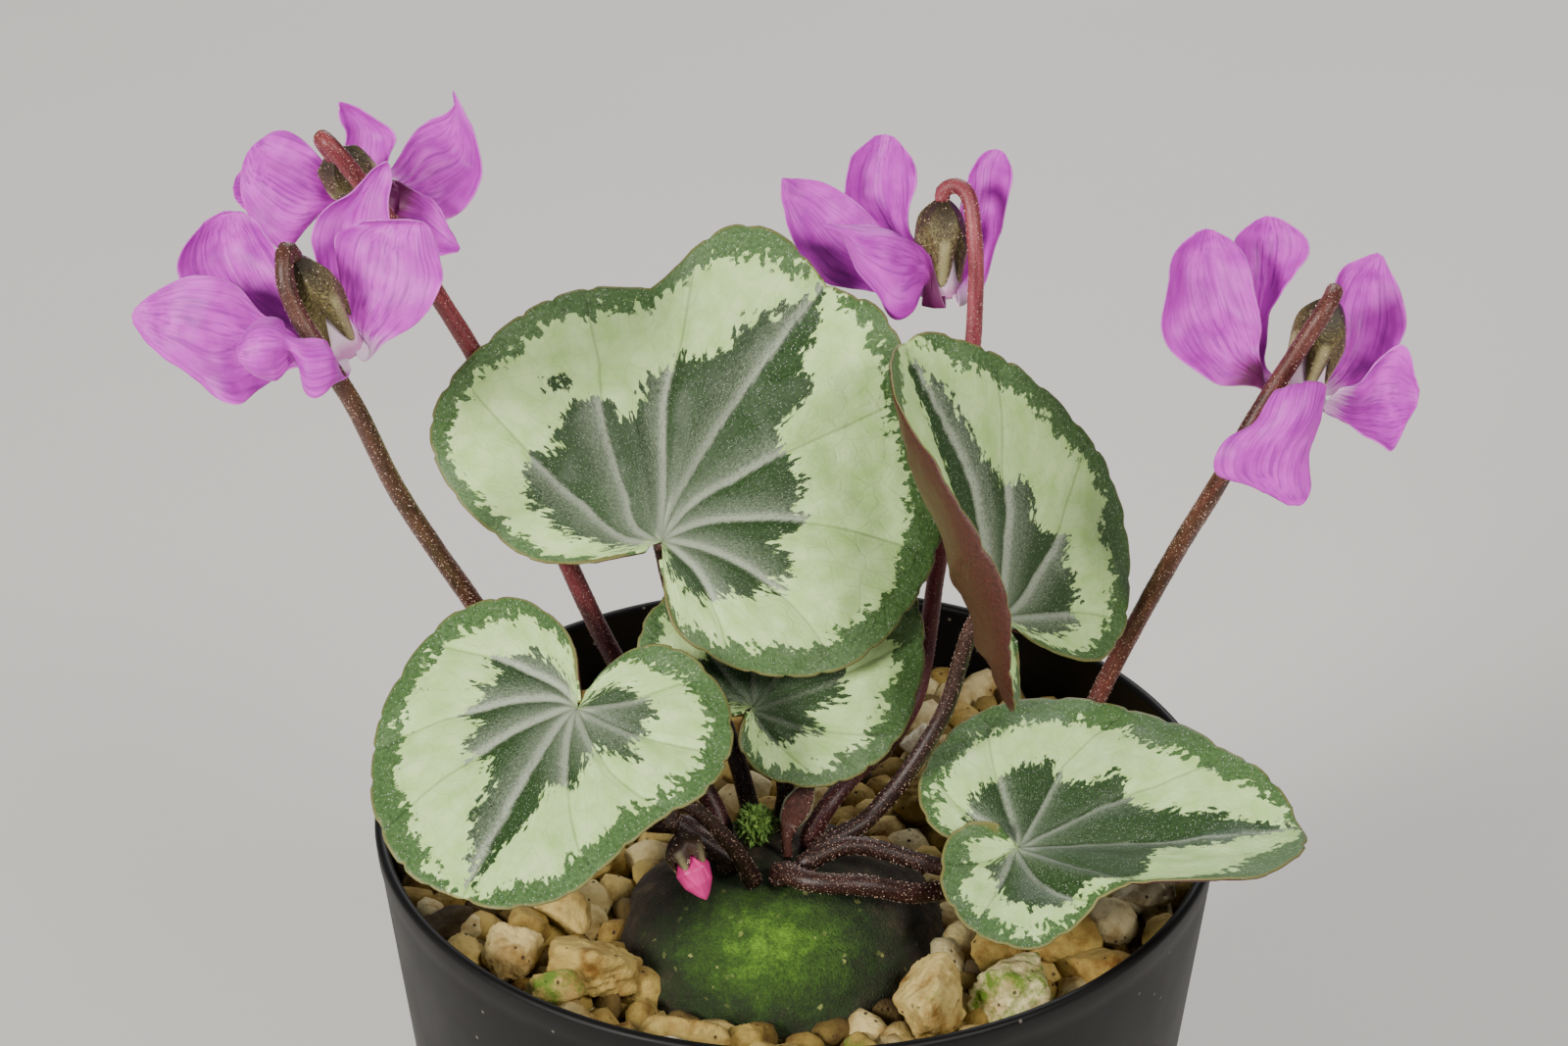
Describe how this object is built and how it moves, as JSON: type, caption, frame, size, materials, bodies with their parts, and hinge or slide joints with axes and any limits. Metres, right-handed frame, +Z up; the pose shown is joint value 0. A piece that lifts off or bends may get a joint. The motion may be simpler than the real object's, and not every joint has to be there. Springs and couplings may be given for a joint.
{
  "type": "potted hardy cyclamen",
  "caption": "Small potted plant with heart-shaped silver-marked leaves and nodding magenta flowers rising from a tuber in a grit-topped black nursery pot.",
  "frame": {"origin": "centre of the pot's flat underside", "axes": "+Z up through the pot; -Y the side the leaves and flowers face; X across"},
  "size_m": [0.1256, 0.09, 0.1612],
  "materials": {
    "pot": "black polypropylene, satin, a little dusty",
    "soil": "dark crumbly potting mix, matt",
    "grit": "cream to ochre limestone, rough and matt, a little green algae",
    "tuber": "brown cork skin with a felt of green algae, matt",
    "moss": "soft, matt",
    "leaf": "silver and dark green, finely glandular, semi-matt",
    "stalk": "brown-purple with glistening gland dots, semi-matt",
    "pedicel": "red-brown with glistening gland dots, semi-matt",
    "sepal": "olive-brown, speckled, semi-matt",
    "throat": "white flushed with pink, satin",
    "bud": "deep pink, satin",
    "petal": "magenta-pink, finely veined, satin"
  },
  "bodies": {
    "root": {"bud_calyx": "sepal", "bud_petals": "bud", "bud_stem": "stalk", "flower_1_calyx": "sepal", "flower_1_pedicel": "pedicel", "flower_1_petal_1": "petal", "flower_1_petal_2": "petal", "flower_1_petal_3": "petal", "flower_1_petal_4": "petal", "flower_1_petal_5": "petal", "flower_1_tube": "throat", "flower_2_calyx": "sepal", "flower_2_pedicel": "pedicel", "flower_2_petal_1": "petal", "flower_2_petal_2": "petal", "flower_2_petal_3": "petal", "flower_2_petal_4": "petal", "flower_2_petal_5": "petal", "flower_2_tube": "throat", "flower_3_calyx": "sepal", "flower_3_pedicel": "pedicel", "flower_3_petal_1": "petal", "flower_3_petal_2": "petal", "flower_3_petal_3": "petal", "flower_3_petal_4": "petal", "flower_3_petal_5": "petal", "flower_3_tube": "throat", "flower_4_calyx": "sepal", "flower_4_pedicel": "pedicel", "flower_4_petal_1": "petal", "flower_4_petal_2": "petal", "flower_4_petal_3": "petal", "flower_4_petal_4": "petal", "flower_4_petal_5": "petal", "flower_4_tube": "throat", "gravel_bed": "grit", "leaf_folded": "leaf", "leaf_large": "leaf", "leaf_left": "leaf", "leaf_right": "leaf", "leaf_small": "leaf", "leaf_young": "stalk", "moss_tuft": "moss", "petiole_folded": "stalk", "petiole_large": "stalk", "petiole_left": "stalk", "petiole_right": "stalk", "petiole_small": "stalk", "pot": "pot", "potting_soil": "soil", "stone_amber": "grit", "stone_cream": "grit", "stone_grey_green": "grit", "stone_ochre": "grit", "stone_speckled": "grit", "stone_tan": "grit", "stone_white": "grit", "stone_yellow": "grit", "tuber": "tuber"}
  },
  "joints": []
}
